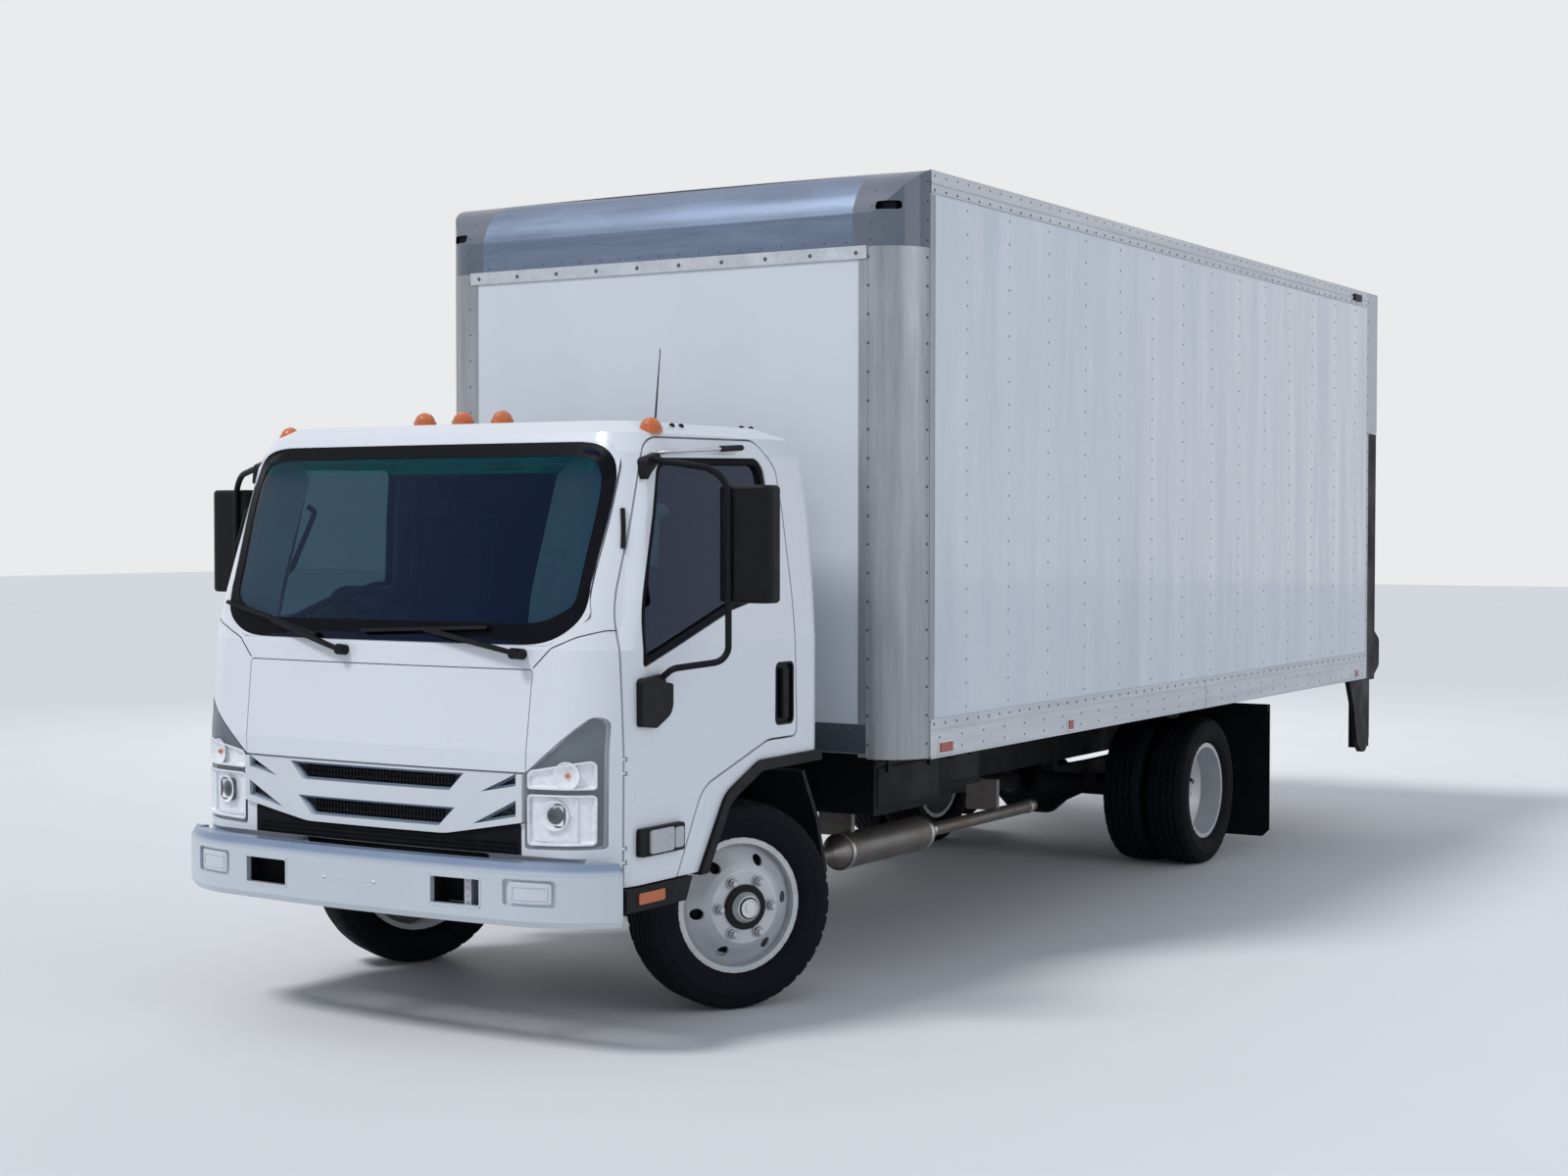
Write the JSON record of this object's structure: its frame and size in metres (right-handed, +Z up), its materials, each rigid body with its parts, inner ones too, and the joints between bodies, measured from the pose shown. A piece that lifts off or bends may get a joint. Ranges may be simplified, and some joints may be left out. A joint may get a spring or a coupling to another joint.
{
  "type": "box truck",
  "caption": "Low-cab-forward box truck with a dry-freight van body, tilting cab, opening doors, steered front wheels, twin rear wheels and a rail lift gate.",
  "frame": {"origin": "on the ground under the middle of the whole truck", "axes": "+Z up, -Y towards the front, +X towards the vehicle's left"},
  "size_m": [2.72, 8.28, 3.3169],
  "materials": {
    "cab_white": "gloss white cab paint",
    "body_white": "gloss pre-painted white sheet",
    "door_white": "white laminated door panels",
    "mill_aluminium": "mill finish with streaks",
    "roof_aluminium": "plain roof sheet",
    "cap_grey": "grey corner castings",
    "frame_steel": "grey painted steel",
    "body_steel": "black painted bearers under a wood deck",
    "chassis_black": "black chassis paint",
    "lift_black": "black lift steel",
    "platform_steel": "galvanised platform",
    "engine_metal": "cast metal",
    "radiator_black": "black core",
    "exhaust_steel": "heat-stained steel",
    "bumper_silver": "light silver paint",
    "black_plastic": "moulded black plastic",
    "interior_plastic": "dark grey trim",
    "seat_fabric": "dark seat cloth",
    "black_rubber": "rubber flap",
    "tyre_black": "tyre rubber",
    "wheel_silver": "silver wheel paint",
    "tinted_glass": "tinted glass",
    "lamp_clear": "clear lens over chromed bowls",
    "amber_lens": "amber lens",
    "red_lens": "red lens"
  },
  "bodies": {
    "root": {"ladder_frame": "chassis_black", "engine_block": "engine_metal", "driveline": "engine_metal", "radiator": "radiator_black", "exhaust": "exhaust_steel", "fuel_tank": "chassis_black", "battery_box": "black_plastic", "front_axle": "chassis_black", "rear_axle": "chassis_black", "leaf_springs": "chassis_black", "front_bumper": "bumper_silver", "front_mudguards": "black_plastic", "rear_mudflaps": "black_rubber", "box_floor": "body_steel", "box_side_left": "body_white", "box_side_right": "body_white", "box_front_wall": "body_white", "box_corner_posts": "mill_aluminium", "box_nose": "mill_aluminium", "box_corner_caps": "cap_grey", "box_roof": "roof_aluminium", "box_rails": "mill_aluminium", "box_rear_frame": "frame_steel", "box_rear_door": "door_white", "box_lamps": "red_lens", "lift_columns": "lift_black"},
    "cab": {"cab_shell": "cab_white", "windscreen": "tinted_glass", "rear_window": "tinted_glass", "front_panel": "cab_white", "grille": "bumper_silver", "grille_mesh": "black_plastic", "headlamps": "lamp_clear", "roof_lamps": "amber_lens", "dashboard": "interior_plastic", "seats": "seat_fabric", "arch_trims": "black_plastic", "wipers": "black_plastic"},
    "door_left": {"door_left": "cab_white", "door_left_glass": "tinted_glass", "mirror_left": "black_plastic"},
    "door_right": {"door_right": "cab_white", "door_right_glass": "tinted_glass", "mirror_right": "black_plastic"},
    "knuckle_left": {"knuckle_left": "chassis_black"},
    "knuckle_right": {"knuckle_right": "chassis_black"},
    "tie_rod": {"tie_rod": "chassis_black"},
    "steering_wheel": {"steering_wheel": "interior_plastic"},
    "wheel_front_left": {"wheel_front_left": "wheel_silver", "tyre_front_left": "tyre_black"},
    "wheel_front_right": {"wheel_front_right": "wheel_silver", "tyre_front_right": "tyre_black"},
    "wheels_rear_left": {"wheels_rear_left": "wheel_silver", "tyres_rear_left": "tyre_black"},
    "wheels_rear_right": {"wheels_rear_right": "wheel_silver", "tyres_rear_right": "tyre_black"},
    "lift_carriage": {"lift_carriage": "lift_black"},
    "lift_platform": {"lift_platform": "platform_steel"}
  },
  "joints": [
    {"name": "cab_tilt", "type": "hinge", "parent": "root", "child": "cab", "pos_m": [0, -3.91, 0.72], "axis": [1, 0, 0], "range_deg": [0, 45]},
    {"name": "steer_left", "type": "hinge", "parent": "root", "child": "knuckle_left", "pos_m": [0.763, -2.9, 0.4], "axis": [0, 0, 1], "range_deg": [-10.5, 69.5]},
    {"name": "steer_right", "type": "hinge", "parent": "root", "child": "knuckle_right", "pos_m": [-0.763, -2.9, 0.4], "axis": [0, 0, 1], "range_deg": [-10.5, 69.5]},
    {"name": "tie_rod_turn", "type": "hinge", "parent": "knuckle_left", "child": "tie_rod", "pos_m": [0.83686, -2.76945, 0.29], "axis": [0, 0, 1], "range_deg": [-69.5, 10.5]},
    {"name": "steering_wheel_turn", "type": "hinge", "parent": "cab", "child": "steering_wheel", "pos_m": [-0.42, -3.5, 1.5], "axis": [0, 0.5299, 0.848], "range_deg": [-168, 1112]},
    {"name": "wheel_front_left_spin", "type": "hinge", "parent": "knuckle_left", "child": "wheel_front_left", "pos_m": [0.83263, -2.93939, 0.4], "axis": [0.8704, -0.4924, 0], "continuous": true},
    {"name": "wheel_front_right_spin", "type": "hinge", "parent": "knuckle_right", "child": "wheel_front_right", "pos_m": [-0.83263, -2.86061, 0.4], "axis": [0.8704, -0.4924, 0], "continuous": true},
    {"name": "wheels_rear_left_spin", "type": "hinge", "parent": "root", "child": "wheels_rear_left", "pos_m": [0.825, 1.57, 0.4], "axis": [1, 0, 0], "continuous": true},
    {"name": "wheels_rear_right_spin", "type": "hinge", "parent": "root", "child": "wheels_rear_right", "pos_m": [-0.825, 1.57, 0.4], "axis": [1, 0, 0], "continuous": true},
    {"name": "lift_slide", "type": "slide", "parent": "root", "child": "lift_carriage", "axis": [0, 0, -1], "range_m": [0, 0.9]},
    {"name": "lift_platform_fold", "type": "hinge", "parent": "lift_carriage", "child": "lift_platform", "pos_m": [0, 4.064, 0.988], "axis": [-1, 0, 0], "range_deg": [0, 90]},
    {"name": "door_left_hinge", "type": "hinge", "parent": "cab", "child": "door_left", "pos_m": [0.97654, -3.838, 0.85], "axis": [0, 0, -1], "range_deg": [0, 70]},
    {"name": "door_right_hinge", "type": "hinge", "parent": "cab", "child": "door_right", "pos_m": [-0.97654, -3.838, 0.85], "axis": [0, 0, 1], "range_deg": [0, 70]}
  ],
  "couplings": [
    {"joint": "steer_right", "follows": "steer_left", "ratio": 1},
    {"joint": "tie_rod_turn", "follows": "steer_left", "ratio": -1},
    {"joint": "steering_wheel_turn", "follows": "steer_left", "ratio": 16}
  ]
}
